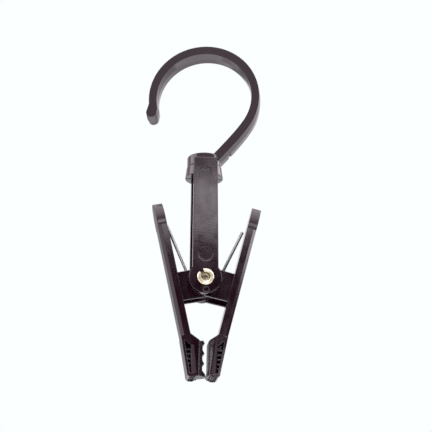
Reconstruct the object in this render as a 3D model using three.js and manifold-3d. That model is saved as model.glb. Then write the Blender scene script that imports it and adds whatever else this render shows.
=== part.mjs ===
// Hanging spring clip: a swivel hook above a two-arm yoke, with two levers on a rivet below it
// that a torsion spring keeps closed.
// Millimetres, +Z up, +X to the right, the jaws' hinge along +Y.
// The origin is the top of the hook's inside, at the strip's faces: there the clip rests on a rail.
import * as THREE from "three";
import { mergeVertices } from "three/addons/utils/BufferGeometryUtils.js";
import Module from "manifold-3d";

const wasm = await Module();
wasm.setup();

const radians = THREE.MathUtils.degToRad;

// ---- Driving dimensions ------------------------------------------------------------------

// Pose of the clip as it hangs at rest
const hookSwivel = radians(-10.5); // hook turned about the vertical against the yoke
const jawRock = radians(1.2); // both jaws swung together about the rivet

// Hook strip
const bowShift = 0.15; // middle of the bow to the right of the swivel axis
const bowInnerWidth = 20.6; // half width and rise of the bow's elliptic edges
const bowInnerRise = 20.8;
const bowOuterWidth = 24;
const bowOuterRise = 24.4;
const stripWidth = 8.8;
const stripCrown = 0.3; // how far its middle stands out beyond its faces, on each side
const shankSlope = radians(45.5); // at the shank's foot, above the horizontal
const shankFootInside = -0.2; // x of the foot's edges, from the swivel axis
const shankFootOutside = 4.8;

// Swivel
const pivotDrop = 102.6; // hook seat down to the rivet axis
const collarFootRadius = 8;
const collarTopRadius = 7.45;
const collarBottom = 45.4; // heights above the rivet axis from here on
const collarTop = 50;
const discRadius = 7.2;
const discTop = 54.9;
const studRadius = 2.6;
const studFlangeRadius = 4.7;
const studFlangeBottom = 46.7;
const studFlangeTop = 47.9;
const clearance = 0.3; // between pieces that touch or turn on each other

// Yoke arms
const armThickness = 2.6;
const armFace = 8.7; // outer face from the middle plane
const armTop = 52;
const armTopHalfWidth = 4.9;
const armLowHalfWidth = 5.3;
const armHeadRadius = 6.7;

// Rivet
const rivetRadius = 2.1;
const rivetBore = 1.55;
const rivetBoreDepth = 3.6;
const rollRadius = 3.45;
const rollHeight = 1;
const rivetHeadRadius = 3.9;

// Levers; u is the distance from the rivet axis and v the height, both square to the lever
const jawWidth = 11.6;
const leverLean = radians(13.6); // outward lean of the closed lever
const leverInside = 10.8; // u of the inner face
const leverOutside = 14.7; // u of the outer face
const leverTop = 36.8;
const fingerPadLength = 10.4;
const leverBevel = 1.3;

// Jaw tips; x from the closing plane, z from the rivet axis
const closingShift = 0.5; // closing plane to the right of the rivet axis
const throatCorner = -22.6;
const tipInside = 2;
const tipTop = -25.1;
const tipBottom = -39.9;
const innerWallBottom = -39.2;
const tipOutside = 6.6; // outer face at the foot
const footRadius = 1.8;
const bevelEnd = -23.6; // the outer bevels stop here
const innerWall = 1.8;
const outerWall = 1;
const recessDepth = 1; // the ribs lie this far behind the jaw's faces
const recessBevel = 1.55;
const shoulderThickness = 2.3; // wall above the hollow
const shoulderSlope = 0.9; // rise of the hollow's top towards the outer wall
const footThickness = 1.6; // wall below the hollow
const ribPitch = 1.87;
const ribThickness = 0.7;
const ribCount = 6;
const centreWeb = 1.2;

// Ears that carry the levers on the rivet
const earThickness = 1.2;
const earHalfHeight = 6.1;
const earStep = 0.35; // from the lever's face down to the outer ear
const earDrop = 0.73; // middle of the ear below the rivet axis

// Spring
const wireRadius = 0.7;
const coilRadius = 5.05;
const coilPitch = 1.5;
const coilWholeTurns = 2;
const legLength = 27.5;
const legReach = 10.1; // of a leg's end from the rivet axis, square to the lever
const legTilt =
  Math.asin(legReach / Math.hypot(coilRadius, legLength)) - Math.atan2(coilRadius, legLength);
const legLean = leverLean + legTilt;
const coilSweep = 2 * Math.PI * coilWholeTurns + Math.PI - 2 * legLean;
const legDepth = (coilPitch * coilSweep) / 4 / Math.PI; // of a leg from the middle plane

// Grip pads
const padHalfWidth = 4.5;
const padChamfer = 1.2; // along the toothed pad's front and back edges
const toothPitch = 4.1;
const toothCount = 4;

// ---- Solids ------------------------------------------------------------------------------

function solid(geometry) {
  const bare = geometry.index ? geometry.toNonIndexed() : geometry.clone();
  bare.deleteAttribute("normal");
  bare.deleteAttribute("uv");
  const merged = mergeVertices(bare, 1e-4);
  return new wasm.Manifold(
    new wasm.Mesh({
      numProp: 3,
      vertProperties: merged.attributes.position.array,
      triVerts: new Uint32Array(merged.index.array),
    }),
  );
}

function geometryOf(body) {
  const { vertProperties, triVerts } = body.getMesh();
  const geometry = new THREE.BufferGeometry();
  geometry.setAttribute("position", new THREE.BufferAttribute(vertProperties, 3));
  geometry.setIndex(new THREE.BufferAttribute(triVerts, 1));
  geometry.computeVertexNormals();
  return geometry;
}

const joined = (bodies) => bodies.reduce((whole, body) => whole.add(body));
const cutBy = (body, tools) => tools.reduce((rest, tool) => rest.subtract(tool), body);

// An outline in the XZ plane, drawn out along Y between two depths.
function plate(shape, yFront, yBack, curveSegments = 24) {
  const depth = yBack - yFront;
  const geometry = new THREE.ExtrudeGeometry(shape, { depth, bevelEnabled: false, curveSegments });
  return solid(geometry.rotateX(Math.PI / 2).translate(0, yBack, 0));
}

// An outline in the YZ plane, drawn out along X between two places.
function beam(shape, xLeft, xRight, curveSegments = 24) {
  const depth = xRight - xLeft;
  const geometry = new THREE.ExtrudeGeometry(shape, { depth, bevelEnabled: false, curveSegments });
  return solid(geometry.rotateY(Math.PI / 2).rotateX(Math.PI / 2).translate(xLeft, 0, 0));
}

// A radius and height profile, given from the bottom up, turned about the vertical.
function turned(profile, segments = 48) {
  const points = profile.map(([radius, height]) => new THREE.Vector2(radius, height));
  return solid(new THREE.LatheGeometry(points, segments).rotateX(Math.PI / 2));
}

function block(size, middle) {
  return solid(new THREE.BoxGeometry(...size).translate(...middle));
}

function outline(points) {
  return new THREE.Shape(points.map(([x, y]) => new THREE.Vector2(x, y)));
}

function circle(x, z, radius) {
  return new THREE.Shape().absarc(x, z, radius, 0, 2 * Math.PI, false);
}

// ---- Hook --------------------------------------------------------------------------------

// z of a height that is given above the rivet axis.
const aboveRivet = (height) => height - pivotDrop;

// The strip's side outline: tip, round bow and a shank that bends gently in to its foot.
function hookOutline() {
  const middle = -bowInnerRise;
  const inner = [bowInnerWidth, bowInnerRise];
  const outer = [bowOuterWidth, bowOuterRise];
  const bowEnd = radians(-31);
  const tipInnerEnd = radians(192);
  const tipOuterEnd = radians(185);
  const on = ([width, rise], angle) => [
    bowShift + width * Math.cos(angle),
    middle + rise * Math.sin(angle),
  ];
  const foot = (x) => [x, aboveRivet(collarTop + clearance)];
  // Where the bow's tangent at its end meets the line of the foot's edge.
  const bend = ([width, rise], footX) => {
    const [startX, startZ] = on([width, rise], bowEnd);
    const startSlope = -rise / width / Math.tan(bowEnd);
    const footSlope = Math.tan(shankSlope);
    const fall = foot(footX)[1] - startZ + startSlope * startX - footSlope * footX;
    const x = fall / (startSlope - footSlope);
    return [x, startZ + startSlope * (x - startX)];
  };
  const tipLip = [-24.9, middle - 6];
  const tipEnd = [-23, middle - 8.5];
  const tipInner = [-20.4, middle - 6.4];
  const shape = new THREE.Shape();
  shape.moveTo(...foot(shankFootInside));
  shape.lineTo(...foot(shankFootOutside));
  shape.quadraticCurveTo(...bend(outer, shankFootOutside), ...on(outer, bowEnd));
  shape.absellipse(bowShift, middle, ...outer, bowEnd, tipOuterEnd, false);
  shape.quadraticCurveTo(-24.3, middle - 4.2, ...tipLip);
  shape.quadraticCurveTo(-24.9, middle - 8.3, ...tipEnd);
  shape.quadraticCurveTo(-20.8, middle - 8.5, ...tipInner);
  shape.lineTo(...on(inner, tipInnerEnd));
  shape.absellipse(bowShift, middle, ...inner, tipInnerEnd, bowEnd, true);
  shape.quadraticCurveTo(...bend(inner, shankFootInside), ...foot(shankFootInside));
  return shape;
}

// Base disc with the stud and its retaining flange, which the yoke's collar holds.
function swivelStud() {
  const edge = 0.6;
  return turned([
    [0, aboveRivet(studFlangeBottom)],
    [studFlangeRadius, aboveRivet(studFlangeBottom)],
    [studFlangeRadius, aboveRivet(studFlangeTop)],
    [studRadius, aboveRivet(studFlangeTop)],
    [studRadius, aboveRivet(collarTop + clearance)],
    [discRadius, aboveRivet(collarTop + clearance)],
    [discRadius, aboveRivet(discTop - edge)],
    [discRadius - edge * 0.3, aboveRivet(discTop - edge * 0.3)],
    [discRadius - edge, aboveRivet(discTop)],
    [0, aboveRivet(discTop)],
  ]);
}

// A ring round the disc, as high as the yoke's arms reach past it while the hook turns.
function armRoom() {
  const low = aboveRivet(collarTop);
  const high = aboveRivet(armTop + clearance);
  return turned([
    [discRadius, low],
    [2 * discRadius, low],
    [2 * discRadius, high],
    [discRadius, high],
    [discRadius, low],
  ]);
}

// The strip on its stud, with a small notch across the underside of the shank.
function makeHook() {
  const partingWidth = 0.4;
  const draftDepth = (stripWidth - partingWidth) / 2;
  const bent = new THREE.ExtrudeGeometry(hookOutline(), {
    depth: partingWidth,
    bevelThickness: draftDepth,
    bevelSize: stripCrown,
    bevelSegments: 1,
    curveSegments: 40,
  });
  const strip = solid(bent.rotateX(Math.PI / 2).translate(0, partingWidth / 2, 0));
  const notchSize = [1.1, 6, 1.6]; // along the shank, across it and into it
  const notchPlace = [11, 1.5, -46.2];
  const notch = block(notchSize, [0, 0, 0])
    .rotate([0, -THREE.MathUtils.radToDeg(shankSlope), 0])
    .translate(notchPlace);
  return joined([cutBy(strip, [armRoom(), notch]), swivelStud()]);
}

// ---- Yoke --------------------------------------------------------------------------------

// One moulded half: an arm with its round head and half of the collar. Both halves are alike.
function makeYokeHalf() {
  const armOutline = outline([
    [-armLowHalfWidth, 0],
    [armLowHalfWidth, 0],
    [armTopHalfWidth, armTop],
    [-armTopHalfWidth, armTop],
  ]);
  const inner = -armFace + armThickness;
  const arm = plate(armOutline, -armFace, inner);
  const head = plate(circle(0, 0, armHeadRadius), -armFace, inner, 48);
  const collar = turned([
    [0, collarBottom],
    [collarFootRadius, collarBottom],
    [collarTopRadius, collarTop],
    [0, collarTop],
  ], 64);
  const studRoom = turned([
    [0, studFlangeBottom - clearance],
    [studFlangeRadius + clearance, studFlangeBottom - clearance],
    [studFlangeRadius + clearance, studFlangeTop + clearance],
    [studRadius + clearance, studFlangeTop + clearance],
    [studRadius + clearance, collarTop],
    [discRadius + clearance, collarTop],
    [discRadius + clearance, armTop + 1],
    [0, armTop + 1],
  ]);
  const room = 40;
  const otherHalf = block([room, room, room], [0, (room - clearance) / 2, collarBottom]);
  const rivetHole = plate(circle(0, 0, rivetRadius + clearance / 2), -armFace - 1, 0);
  const markDepth = 0.25;
  const marks = [
    [0, collarTop - 4.4, 2.4],
    [0.1, 9.8, 2.95],
    [0.3, -5.1, 1.2],
  ].map(([x, z, radius]) => plate(circle(x, z, radius), -armFace - 1, -armFace + markDepth));
  return cutBy(joined([arm, head, collar]), [studRoom, otherHalf, rivetHole, ...marks]);
}

// ---- Rivet -------------------------------------------------------------------------------

// Semi-tubular rivet along Y: its rolled end in front, split where the roll meets, a low
// domed head behind.
function makeRivet() {
  const seat = armFace + 0.1;
  const rollTop = -seat - rollHeight;
  const boreEnd = rollTop + rivetBoreDepth;
  const profile = [
    [0, boreEnd + 0.7],
    [0.45, boreEnd + 0.2],
    [rivetBore, boreEnd],
    [rivetBore, rollTop + 0.7],
    [rivetBore + 0.35, rollTop + 0.2],
    [rivetBore + 0.9, rollTop],
    [rollRadius - 0.5, rollTop + 0.15],
    [rollRadius - 0.1, rollTop + 0.45],
    [rollRadius, -seat],
    [rivetRadius, -seat],
    [rivetRadius, seat],
    [rivetHeadRadius, seat],
    [rivetHeadRadius - 0.1, seat + 0.5],
    [rivetHeadRadius - 1.1, seat + 1.1],
    [rivetHeadRadius - 2.4, seat + 1.4],
    [0, seat + 1.5],
  ];
  const points = profile.map(([radius, y]) => new THREE.Vector2(radius, y));
  const body = solid(new THREE.LatheGeometry(points, 40));
  const split = new THREE.Shape();
  split.absarc(0, 0, rollRadius + 1, radians(108), radians(143), false);
  split.absarc(0, 0, rivetBore + 0.3, radians(143), radians(108), true);
  return body.subtract(plate(split, rollTop - 1, -seat + 0.05));
}

// ---- Levers ------------------------------------------------------------------------------

// A place of the closed jaw, x from the closing plane and z from the rivet, in the lever's u, v.
function inLever([x, z]) {
  const cos = Math.cos(leverLean);
  const sin = Math.sin(leverLean);
  return [x * cos - z * sin, x * sin + z * cos];
}

// x of the line that runs along the lever at distance u from the rivet axis.
const alongLever = (u, z) => (u + z * Math.sin(leverLean)) / Math.cos(leverLean);

function leverOutline() {
  const shape = new THREE.Shape();
  shape.moveTo(leverInside, leverTop);
  shape.lineTo(...inLever([alongLever(leverInside, throatCorner), throatCorner]));
  shape.lineTo(...inLever([tipInside, tipTop]));
  shape.lineTo(...inLever([tipInside, innerWallBottom]));
  shape.lineTo(...inLever([tipInside + innerWall, tipBottom]));
  shape.lineTo(...inLever([tipOutside - footRadius, tipBottom]));
  const foot = [tipOutside, tipBottom + footRadius];
  shape.quadraticCurveTo(...inLever([tipOutside, tipBottom]), ...inLever(foot));
  shape.lineTo(...inLever([alongLever(leverOutside, bevelEnd), bevelEnd]));
  shape.lineTo(leverOutside, leverTop);
  return shape;
}

// The rounded end of the finger pad, seen square to the lever: what lies outside it is cut.
function fingerPadEnd() {
  const half = jawWidth / 2;
  const roundHeight = 9;
  const base = leverTop - roundHeight;
  const shape = new THREE.Shape();
  shape.moveTo(half + 1, base);
  shape.lineTo(half + 1, leverTop + 1);
  shape.lineTo(-half - 1, leverTop + 1);
  shape.lineTo(-half - 1, base);
  shape.lineTo(-half, base);
  shape.absellipse(0, base, half, roundHeight, Math.PI, 0, true);
  return beam(shape, leverInside - 1, leverOutside + 1);
}

// Bevels along both outer edges, from the shoulder up to the finger pad.
function outerBevels() {
  const low = inLever([alongLever(leverOutside, bevelEnd), bevelEnd])[1];
  const high = leverTop - fingerPadLength;
  const length = high - low;
  return [-1, 1].map((side) => {
    const y = (side * jawWidth) / 2;
    const corner = outline([
      [leverOutside + 1, y + side],
      [leverOutside - leverBevel - 1, y + side],
      [leverOutside + 1, y - side * (leverBevel + 1)],
    ]);
    const geometry = new THREE.ExtrudeGeometry(corner, { depth: length, bevelEnabled: false });
    return solid(geometry.translate(0, 0, low));
  });
}

// A fine groove below the finger pad, on the front, back and outer faces.
function fingerPadGroove() {
  const height = 0.5;
  const depth = 0.4;
  const z = leverTop - fingerPadLength;
  const middle = (leverInside + leverOutside) / 2;
  const ring = block([leverOutside - leverInside + 2, jawWidth + 2, height], [middle + 1, 0, z]);
  const core = block([leverOutside + 2, jawWidth - 2 * depth, 2], [leverOutside / 2, 0, z]);
  return ring.subtract(core);
}

// x of the inside of the outer wall in the jaw tip, at height z.
function outerWallInside(z) {
  const high = alongLever(leverOutside, bevelEnd);
  const foot = tipBottom + footRadius;
  const fall = (high - tipOutside) / (bevelEnd - foot);
  return tipOutside + (z - foot) * fall - outerWall;
}

const hollowTop = tipTop - shoulderThickness;
const hollowBottom = tipBottom + footThickness;
const hollowInside = tipInside + innerWall + recessBevel;

// Corners of the jaw tip's hollow between two heights; with a peak, its top slopes up outwards.
function hollowCorners(bottom, top, hasPeak) {
  const corners = [
    [hollowInside, bottom],
    [outerWallInside(bottom), bottom],
    [outerWallInside(top), top],
  ];
  if (hasPeak) {
    const peak = top + (outerWallInside(top) - hollowInside) * shoulderSlope;
    corners.push([outerWallInside(peak), peak]);
  }
  corners.push([hollowInside, top]);
  return outline(corners.map(inLever));
}

// The hollow of the jaw tip, open in front and behind: a shallow recess with a bevel down
// the inner wall, then cells between the ribs, as deep as the middle web.
function tipHollow() {
  const half = jawWidth / 2;
  const floor = half - recessDepth;
  const bothSides = (shape, inner, outer) => [
    plate(shape, -outer, -inner),
    plate(shape, inner, outer),
  ];
  const recess = bothSides(hollowCorners(hollowBottom, hollowTop, true), floor, half + 1);
  const cells = [];
  for (let index = 0; index <= ribCount; index += 1) {
    const top = hollowTop - index * ribPitch;
    const bottom = Math.max(top - ribPitch + ribThickness, hollowBottom);
    cells.push(...bothSides(hollowCorners(bottom, top, index === 0), centreWeb / 2, half));
  }
  const bevels = [-1, 1].map((side) => {
    const section = outline([
      [hollowInside + 0.05, side * floor],
      [hollowInside + 0.05, side * (half + 0.1)],
      [hollowInside - recessBevel, side * (half + 0.1)],
    ]);
    const depth = hollowTop - hollowBottom;
    const geometry = new THREE.ExtrudeGeometry(section, { depth, bevelEnabled: false });
    return solid(geometry.translate(0, 0, hollowBottom).rotateY(-leverLean));
  });
  return [...recess, ...cells, ...bevels];
}

// The seat in the inner wall for a grip pad.
function padSeat() {
  const depth = 0.9;
  const top = tipTop + 0.5;
  const seat = outline([
    [tipInside - 1, top],
    [tipInside + depth, top],
    [tipInside + depth, tipBottom - 1],
    [tipInside - 1, tipBottom - 1],
  ].reverse().map(inLever));
  return plate(seat, -padHalfWidth - clearance, padHalfWidth + clearance);
}

// A pair of ears that reach from the lever round the rivet; the outer one's face is at the
// given depth. They narrow a little towards the lever.
function ears(rivet, outerFace) {
  const top = earHalfHeight - earDrop;
  const bottom = -earDrop - earHalfHeight;
  const root = leverInside + 1;
  const narrowing = 0.4;
  const shape = new THREE.Shape();
  shape.moveTo(root, top);
  shape.lineTo(rivet[0], top);
  shape.absarc(rivet[0], -earDrop, earHalfHeight, Math.PI / 2, (3 * Math.PI) / 2, false);
  shape.lineTo(root, bottom + narrowing);
  const faces = [-outerFace, outerFace - earThickness];
  return faces.map((front) => plate(shape, front, front + earThickness, 32));
}

// The channel in the lever's inner face that takes the end of the spring's leg.
function legChannel(side, rivet) {
  const width = 2 * (wireRadius + clearance);
  const length = 10;
  const bottom = rivet[0] + legReach + wireRadius + clearance;
  const middle = legLength + 2 - length / 2;
  return block([bottom, width, length], [bottom / 2, side * legDepth, middle]);
}

// A jaw of the given side, mirrored later when that side is the left.
function makeJaw(side, earFace) {
  const half = jawWidth / 2;
  const rivet = inLever([-side * closingShift, 0]);
  const bar = plate(leverOutline(), -half, half, 12);
  const bore = plate(circle(...rivet, rivetRadius + clearance), -half - 1, half + 1);
  const lever = cutBy(bar, [fingerPadEnd(), ...outerBevels(), fingerPadGroove()]);
  const tip = cutBy(lever, [...tipHollow(), padSeat(), legChannel(side, rivet)]);
  return joined([tip, ...ears(rivet, earFace)]).subtract(bore);
}

// ---- Grip pads ---------------------------------------------------------------------------

// A pad's side outline drawn out across the jaw.
function pad(points) {
  return plate(outline(points.map(inLever)), -padHalfWidth, padHalfWidth);
}

// Tools for a chamfer down the front and back edges of a pad's gripping side. It is as deep as
// it is wide, and ends at the given distance from the closing plane.
function padChamfers(from, size) {
  const margin = 2;
  const reach = size + margin;
  return [-1, 1].map((side) => {
    const section = outline([
      [from - reach, side * (padHalfWidth - reach)],
      [from, side * padHalfWidth],
      [from, side * (padHalfWidth + 1)],
      [from - reach, side * (padHalfWidth + 1)],
    ]);
    const depth = padTop - padBottom + 2 * margin;
    const geometry = new THREE.ExtrudeGeometry(section, { depth, bevelEnabled: false });
    return solid(geometry.translate(0, 0, padBottom - margin).rotateY(-leverLean));
  });
}

const padBack = tipInside + 0.6;
const padTop = tipTop;
const padBottom = innerWallBottom;

// Toothed pad of the left jaw: ridges across the jaw, the lowest the longest.
function makeToothedPad() {
  const face = 0.45; // x of the pad between its teeth
  const tip = -0.4;
  const lowestTip = -0.9;
  const lowerSlant = 0.7; // heights of a tooth's sloping sides
  const upperSlant = 1.3;
  const points = [[padBack, padTop], [padBack, padBottom], [lowestTip, padBottom]];
  for (let index = toothCount - 1; index >= 0; index -= 1) {
    const crest = padTop - lowerSlant - index * toothPitch;
    const reach = index === toothCount - 1 ? lowestTip : tip;
    points.push([reach, crest], [face, crest + upperSlant]);
    if (index > 0) points.push([face, crest + toothPitch - lowerSlant]);
  }
  points.push([face + 0.1, padTop]);
  return cutBy(pad(points.reverse()), padChamfers(face + padChamfer, padChamfer));
}

// Flat pad of the right jaw, with a lip at its foot that meets the other pad.
function makeFlatPad() {
  const face = tipInside - 0.2;
  const lip = 1.35;
  const lipHeight = 1.2;
  const lipRise = 2.2; // up to where the lip runs out in the face
  return pad([
    [padBack, padTop],
    [face, padTop],
    [face, padBottom + lipRise],
    [lip, padBottom + lipHeight],
    [lip, padBottom],
    [padBack, padBottom],
  ]);
}

// ---- Spring ------------------------------------------------------------------------------

// Half of the torsion spring: a straight leg, then half of the coil up to the middle plane.
class SpringHalf extends THREE.Curve {
  getPoint(t) {
    const coilLength = (coilSweep / 2) * coilRadius - clearance;
    const along = t * (legLength + coilLength);
    const foot = Math.PI + legLean;
    const turn = Math.max(0, along - legLength) / coilRadius;
    const angle = foot + turn;
    const rise = Math.max(0, legLength - along);
    return new THREE.Vector3(
      coilRadius * Math.cos(angle) - rise * Math.sin(legLean),
      (coilPitch * turn) / 2 / Math.PI - legDepth,
      coilRadius * Math.sin(angle) + rise * Math.cos(legLean),
    );
  }
}

function makeSpringHalf() {
  const section = new THREE.Shape().absarc(0, 0, wireRadius, 0, 2 * Math.PI, false);
  return new THREE.ExtrudeGeometry(section, {
    steps: 72,
    curveSegments: 5,
    extrudePath: new SpringHalf(),
  });
}

// ---- Assembly ----------------------------------------------------------------------------

const plastic = { color: 0x2a1d26, roughness: 0.25, metalness: 0 };
const padPlastic = { color: 0x171216, roughness: 0.55, metalness: 0 };
const nickel = { color: 0xcfc6ae, roughness: 0.28, metalness: 1 };
const springSteel = { color: 0xb9bcc0, roughness: 0.22, metalness: 1 };

function named(name, shape, finish) {
  const geometry = shape.isBufferGeometry ? shape : geometryOf(shape);
  const mesh = new THREE.Mesh(geometry, new THREE.MeshStandardMaterial(finish));
  mesh.name = name;
  return mesh;
}

const clip = new THREE.Group();

const hook = named("hook", makeHook(), plastic);
hook.rotation.z = hookSwivel;
clip.add(hook);

const yoke = new THREE.Group();
yoke.position.z = -pivotDrop;
clip.add(yoke);

const yokeHalf = makeYokeHalf();
const frontHalf = named("yoke_front_half", yokeHalf, plastic);
const rearHalf = named("yoke_rear_half", yokeHalf, plastic);
rearHalf.rotation.z = Math.PI;
yoke.add(frontHalf, rearHalf, named("pivot_rivet", makeRivet(), nickel));

const clamp = new THREE.Group();
clamp.rotation.y = jawRock;
yoke.add(clamp);

const rightEarFace = jawWidth / 2 - earStep;
const leftEarFace = rightEarFace - earThickness - clearance;

function addJaw(prefix, side, earFace, padShape) {
  const jaw = named(`${prefix}_jaw`, makeJaw(side, earFace), plastic);
  const grip = named(`${prefix}_grip_pad`, padShape, padPlastic);
  for (const piece of [jaw, grip]) {
    piece.position.x = closingShift;
    piece.scale.x = side;
    piece.rotation.y = side * leverLean;
    clamp.add(piece);
  }
}

addJaw("left", -1, leftEarFace, makeToothedPad());
addJaw("right", 1, rightEarFace, makeFlatPad());

const leftSpring = named("spring_left_half", makeSpringHalf(), springSteel);
const rightSpring = named("spring_right_half", makeSpringHalf(), springSteel);
rightSpring.rotation.z = Math.PI;
clamp.add(leftSpring, rightSpring);

export default clip;
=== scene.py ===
"""Looks of the hanging spring clip: edges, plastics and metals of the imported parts, the studio
and the camera. Metres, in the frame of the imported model."""

import math

import bpy
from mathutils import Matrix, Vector

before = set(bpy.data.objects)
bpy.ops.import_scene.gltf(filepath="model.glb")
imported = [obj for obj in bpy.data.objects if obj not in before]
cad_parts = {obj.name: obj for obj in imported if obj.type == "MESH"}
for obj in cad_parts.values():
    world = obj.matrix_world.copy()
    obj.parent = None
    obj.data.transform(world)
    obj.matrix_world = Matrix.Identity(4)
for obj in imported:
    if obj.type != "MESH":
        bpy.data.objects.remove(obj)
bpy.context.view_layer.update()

# ---- Dimensions ----------------------------------------------------------------------------

VIEW_TARGET = Vector((0.0051, 0.0, -0.0736))
VIEW_DISTANCE = 0.42
VIEW_AZIMUTH = math.radians(-5.7)
VIEW_ELEVATION = math.radians(-19)
LENS = 83.33  # millimetres, on a sensor 36 mm wide

FLOOR_HEIGHT = -0.30
FLOOR_SIZE = 1.4
CLIP_MIDDLE = (0, 0, -0.074)
TENT_WHITE = 0.95

SHARP_ANGLE = math.radians(35)  # edges flatter than this are smooth
WELD_DISTANCE = 1e-6
SPRING_SLACK = 0.00004  # drawn in from the spring's skin


# ---- Node helpers --------------------------------------------------------------------------

def new_material(name):
    """A material with its node tree, its Principled shader and object coordinates."""
    material = bpy.data.materials.new(name)
    material.use_nodes = True
    nodes = material.node_tree.nodes
    shader = nodes["Principled BSDF"]
    place = nodes.new("ShaderNodeTexCoord").outputs["Object"]
    return material, shader, place


def link(material, source, target):
    material.node_tree.links.new(source, target)


def noise(material, place, scale, detail=2.0, roughness=0.5, stretch=(1, 1, 1)):
    """Value of a noise texture with that many features per metre."""
    nodes = material.node_tree.nodes
    mapping = nodes.new("ShaderNodeMapping")
    mapping.inputs["Scale"].default_value = stretch
    texture = nodes.new("ShaderNodeTexNoise")
    texture.inputs["Scale"].default_value = scale
    texture.inputs["Detail"].default_value = detail
    texture.inputs["Roughness"].default_value = roughness
    link(material, place, mapping.inputs["Vector"])
    link(material, mapping.outputs["Vector"], texture.inputs["Vector"])
    return texture.outputs["Fac"]


def ramp(material, value, stops):
    """Colours blended between two stops, each given as (position, colour)."""
    node = material.node_tree.nodes.new("ShaderNodeValToRGB")
    for element, (position, colour) in zip(node.color_ramp.elements, stops):
        element.position = position
        element.color = (*colour, 1)
    link(material, value, node.inputs["Fac"])
    return node.outputs["Color"]


def ranged(material, value, low, high, new_low, new_high):
    """The value, stretched from one range to another."""
    node = material.node_tree.nodes.new("ShaderNodeMapRange")
    node.inputs["From Min"].default_value = low
    node.inputs["From Max"].default_value = high
    node.inputs["To Min"].default_value = new_low
    node.inputs["To Max"].default_value = new_high
    link(material, value, node.inputs["Value"])
    return node.outputs["Result"]


def bump(material, height, distance, strength, normal=None):
    """Normals of that height over the surface, or over the given normals."""
    node = material.node_tree.nodes.new("ShaderNodeBump")
    node.inputs["Strength"].default_value = strength
    node.inputs["Distance"].default_value = distance
    link(material, height, node.inputs["Height"])
    if normal is not None:
        link(material, normal, node.inputs["Normal"])
    return node.outputs["Normal"]


def rounded_edges(material, radius):
    """Normals that bend round every sharp edge, as on a moulded part."""
    node = material.node_tree.nodes.new("ShaderNodeBevel")
    node.samples = 6
    node.inputs["Radius"].default_value = radius
    return node.outputs["Normal"]


# ---- Materials -----------------------------------------------------------------------------

def gloss_plastic(name, edge_radius):
    """Dark brown-black moulded plastic: a slow wave of the skin, fine flow speckle, dull patches."""
    material, shader, place = new_material(name)
    cloud = noise(material, place, 90, detail=3)
    colour = ramp(material, cloud, [
        (0.3, (0.0075, 0.0010, 0.0036)),
        (0.7, (0.0135, 0.0028, 0.0075)),
    ])
    link(material, colour, shader.inputs["Base Color"])
    smear = noise(material, place, 260, detail=4, roughness=0.6, stretch=(1, 1, 0.45))
    link(material, ranged(material, smear, 0.35, 0.75, 0.09, 0.17), shader.inputs["Roughness"])
    edges = rounded_edges(material, edge_radius)
    wave = bump(material, noise(material, place, 120, detail=1), 0.00016, 0.35, edges)
    speckle = bump(material, noise(material, place, 1500, detail=3), 0.00002, 0.35, wave)
    link(material, speckle, shader.inputs["Normal"])
    shader.inputs["IOR"].default_value = 1.54
    shader.inputs["Specular Tint"].default_value = (1.0, 0.93, 1.0, 1)
    return material


def pad_rubber():
    """Dark satin pad: fine leathery grain with paler dust in it."""
    material, shader, place = new_material("pad_rubber")
    dust = noise(material, place, 700, detail=4, roughness=0.65)
    colour = ramp(material, dust, [
        (0.35, (0.0160, 0.0110, 0.0140)),
        (0.72, (0.0420, 0.0350, 0.0390)),
    ])
    link(material, colour, shader.inputs["Base Color"])
    link(material, ranged(material, dust, 0.3, 0.7, 0.2, 0.34), shader.inputs["Roughness"])
    grain = bump(material, noise(material, place, 2600, detail=3), 0.00004, 0.6)
    link(material, grain, shader.inputs["Normal"])
    return material


def nickel_plate():
    """Warm nickel plating with fine pits and dull worn spots."""
    material, shader, place = new_material("nickel_plate")
    worn = noise(material, place, 500, detail=5, roughness=0.65)
    colour = ramp(material, worn, [
        (0.34, (0.40, 0.33, 0.21)),
        (0.62, (0.76, 0.69, 0.56)),
    ])
    link(material, colour, shader.inputs["Base Color"])
    link(material, ranged(material, worn, 0.3, 0.7, 0.30, 0.16), shader.inputs["Roughness"])
    pits = bump(material, noise(material, place, 900, detail=3), 0.00003, 0.4)
    link(material, pits, shader.inputs["Normal"])
    shader.inputs["Metallic"].default_value = 1.0
    return material


def spring_wire():
    """Drawn steel wire with fine upright marks and darker spots of oil."""
    material, shader, place = new_material("spring_wire")
    oil = noise(material, place, 420, detail=4, roughness=0.6)
    colour = ramp(material, oil, [
        (0.30, (0.34, 0.34, 0.34)),
        (0.60, (0.58, 0.58, 0.565)),
    ])
    link(material, colour, shader.inputs["Base Color"])
    link(material, ranged(material, oil, 0.3, 0.7, 0.34, 0.2), shader.inputs["Roughness"])
    scratches = noise(material, place, 3200, detail=2, stretch=(1, 1, 0.08))
    link(material, bump(material, scratches, 0.00002, 0.3), shader.inputs["Normal"])
    shader.inputs["Metallic"].default_value = 0.85
    return material


# ---- Edges ---------------------------------------------------------------------------------

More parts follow.
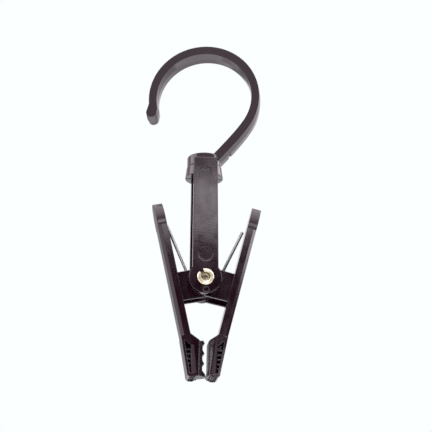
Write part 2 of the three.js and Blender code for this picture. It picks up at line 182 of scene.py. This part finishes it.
def smooth_by_angle():
    """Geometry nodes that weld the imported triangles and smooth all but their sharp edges."""
    tree = bpy.data.node_groups.new("weld_and_smooth", "GeometryNodeTree")
    tree.interface.new_socket("Geometry", in_out="INPUT", socket_type="NodeSocketGeometry")
    tree.interface.new_socket("Geometry", in_out="OUTPUT", socket_type="NodeSocketGeometry")
    nodes, links = tree.nodes, tree.links
    start, end = nodes.new("NodeGroupInput"), nodes.new("NodeGroupOutput")
    weld = nodes.new("GeometryNodeMergeByDistance")
    weld.inputs["Distance"].default_value = WELD_DISTANCE
    faces = nodes.new("GeometryNodeSetShadeSmooth")
    faces.domain = "FACE"
    edges = nodes.new("GeometryNodeSetShadeSmooth")
    edges.domain = "EDGE"
    angle = nodes.new("GeometryNodeInputMeshEdgeAngle")
    flatter = nodes.new("FunctionNodeCompare")
    flatter.operation = "LESS_THAN"
    flatter.inputs["B"].default_value = SHARP_ANGLE
    links.new(start.outputs[0], weld.inputs["Geometry"])
    links.new(weld.outputs["Geometry"], faces.inputs["Geometry"])
    links.new(faces.outputs["Geometry"], edges.inputs["Geometry"])
    links.new(angle.outputs["Unsigned Angle"], flatter.inputs["A"])
    links.new(flatter.outputs["Result"], edges.inputs["Shade Smooth"])
    links.new(edges.outputs["Geometry"], end.inputs[0])
    return tree


def soften(node, edge_width, tree):
    """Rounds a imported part's sharp edges without touching its mesh."""
    for polygon in node.data.polygons:
        polygon.use_smooth = True
    weld = node.modifiers.new("weld", "NODES")
    weld.node_group = tree
    if edge_width:
        bevel = node.modifiers.new("edges", "BEVEL")
        bevel.width = edge_width
        bevel.segments = 3
        bevel.limit_method = "ANGLE"
        bevel.angle_limit = SHARP_ANGLE
        bevel.harden_normals = False
        bevel.use_clamp_overlap = True
        weighted = node.modifiers.new("normals", "WEIGHTED_NORMAL")
        weighted.keep_sharp = True


def draw_in(node, depth):
    """Draws a part's surface in by a hair, which keeps the spring's turns clear of each other."""
    skin = node.modifiers.new("skin", "DISPLACE")
    skin.mid_level = 0
    skin.strength = -depth


# ---- Studio --------------------------------------------------------------------------------

def area_light(name, place, target, size, power):
    """A soft rectangular light, given by its width and height, that faces the target."""
    data = bpy.data.lights.new(name, "AREA")
    data.shape = "RECTANGLE"
    data.size, data.size_y = size
    data.energy = power
    lamp = bpy.data.objects.new(name, data)
    lamp.location = place
    direction = Vector(target) - Vector(place)
    lamp.rotation_euler = direction.to_track_quat("-Z", "Y").to_euler()
    bpy.context.scene.collection.objects.link(lamp)


def tent_strength(tree, zones):
    """Strength of the tent's light in every direction. Each soft zone is given by its direction, the
    angles from there at which it ends and the tent's white begins, and its share of that white."""
    nodes, links = tree.nodes, tree.links
    direction = nodes.new("ShaderNodeTexCoord").outputs["Generated"]
    white = nodes.new("ShaderNodeValue")
    white.outputs[0].default_value = TENT_WHITE
    strength = white.outputs[0]
    for centre, inner_angle, outer_angle, share in zones:
        nearness = nodes.new("ShaderNodeVectorMath")
        nearness.operation = "DOT_PRODUCT"
        nearness.inputs[1].default_value = Vector(centre).normalized()
        shade = nodes.new("ShaderNodeMapRange")
        shade.interpolation_type = "SMOOTHSTEP"
        shade.inputs["From Min"].default_value = math.cos(math.radians(outer_angle))
        shade.inputs["From Max"].default_value = math.cos(math.radians(inner_angle))
        shade.inputs["To Min"].default_value = 1.0
        shade.inputs["To Max"].default_value = share
        product = nodes.new("ShaderNodeMath")
        product.operation = "MULTIPLY"
        links.new(direction, nearness.inputs[0])
        links.new(nearness.outputs["Value"], shade.inputs["Value"])
        links.new(shade.outputs["Result"], product.inputs[0])
        links.new(strength, product.inputs[1])
        strength = product.outputs["Value"]
    return strength


def light_tent(zones):
    """World light of a white tent with soft zones, in front of a plain backdrop."""
    world = bpy.data.worlds.new("light_tent")
    world.use_nodes = True
    tree = world.node_tree
    nodes, links = tree.nodes, tree.links
    tent = nodes["Background"]
    tent.inputs["Color"].default_value = (1.0, 0.97, 1.0, 1)
    backdrop = nodes.new("ShaderNodeBackground")
    backdrop.inputs["Color"].default_value = (0.965, 1.0, 1.0, 1)
    seen = nodes.new("ShaderNodeLightPath")
    choice = nodes.new("ShaderNodeMixShader")
    links.new(tent_strength(tree, zones), tent.inputs["Strength"])
    links.new(seen.outputs["Is Camera Ray"], choice.inputs["Fac"])
    links.new(tent.outputs["Background"], choice.inputs[1])
    links.new(backdrop.outputs["Background"], choice.inputs[2])
    links.new(choice.outputs["Shader"], nodes["World Output"].inputs["Surface"])
    bpy.context.scene.world = world


def pale_floor():
    """A plain pale floor below the hanging clip."""
    material, shader, place = new_material("floor_paper")
    tone = ramp(material, noise(material, place, 3, detail=1), [
        (0.3, (0.78, 0.79, 0.79)),
        (0.7, (0.82, 0.83, 0.83)),
    ])
    link(material, tone, shader.inputs["Base Color"])
    shader.inputs["Roughness"].default_value = 0.8
    bpy.ops.mesh.primitive_plane_add(size=FLOOR_SIZE, location=(0, 0, FLOOR_HEIGHT))
    floor = bpy.context.object
    floor.name = "floor"
    floor.data.materials.append(material)


def make_camera():
    """The camera looks up at the clip from below and slightly from the left."""
    towards = Vector((
        -math.sin(VIEW_AZIMUTH) * math.cos(VIEW_ELEVATION),
        math.cos(VIEW_AZIMUTH) * math.cos(VIEW_ELEVATION),
        -math.sin(VIEW_ELEVATION),
    ))
    data = bpy.data.cameras.new("camera")
    data.lens = LENS
    data.clip_start = 0.01
    data.clip_end = 20
    camera = bpy.data.objects.new("camera", data)
    camera.location = VIEW_TARGET - towards * VIEW_DISTANCE
    camera.rotation_euler = towards.to_track_quat("-Z", "Y").to_euler()
    bpy.context.scene.collection.objects.link(camera)
    bpy.context.scene.camera = camera


# ---- Scene ---------------------------------------------------------------------------------

def dress_parts():
    """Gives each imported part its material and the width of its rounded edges."""
    hook_plastic = gloss_plastic("hook_plastic", 0.0003)
    yoke_plastic = gloss_plastic("yoke_plastic", 0.0007)
    jaw_plastic = gloss_plastic("jaw_plastic", 0.0004)
    rubber = pad_rubber()
    nickel = nickel_plate()
    wire = spring_wire()
    finishes = {
        "hook": (hook_plastic, 0.00015),
        "yoke_front_half": (yoke_plastic, 0.0002),
        "yoke_rear_half": (yoke_plastic, 0.0002),
        "left_jaw": (jaw_plastic, 0.0002),
        "right_jaw": (jaw_plastic, 0.0002),
        "left_grip_pad": (rubber, 0.0002),
        "right_grip_pad": (rubber, 0.0002),
        "pivot_rivet": (nickel, 0.00006),
        "spring_left_half": (wire, 0),
        "spring_right_half": (wire, 0),
    }
    weld_and_smooth = smooth_by_angle()
    for name, (material, edge_width) in finishes.items():
        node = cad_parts[name]
        node.data.materials.clear()
        node.data.materials.append(material)
        soften(node, edge_width, weld_and_smooth)
    for name in ("spring_left_half", "spring_right_half"):
        draw_in(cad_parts[name], SPRING_SLACK)


def light_studio():
    """A white tent that is dark in front and at the lower right, with soft panels on all sides."""
    light_tent([
        ((0.09, -0.99, -0.14), 24, 33, 0.02),
        ((0.90, -0.10, -0.42), 25, 33, 0.02),
        ((-0.26, 0.92, 0.20), 6, 16, 0.4),
        ((0.05, 0.98, -0.15), 5, 9, 0.02),
        ((0.00, -0.26, 0.97), 10, 50, 3.2),
    ])
    area_light("front_strip", (0.10, -0.95, 0.268), CLIP_MIDDLE, (0.26, 0.075), 0.25)
    area_light("low_reflector", (0.150, -0.88, -0.005), (0.012, 0, -0.14), (0.09, 0.09), 0.17)
    area_light("left_wall", (-0.9, -0.1, 0.1), CLIP_MIDDLE, (0.9, 1.0), 1.5)
    area_light("left_window", (-0.9, -0.1, 0.36), CLIP_MIDDLE, (0.9, 0.5), 3.5)
    area_light("right_wall", (0.9, 0.1, 0.43), CLIP_MIDDLE, (0.9, 1.1), 12)


dress_parts()
light_studio()
pale_floor()
make_camera()
bpy.context.scene.view_settings.view_transform = "Standard"
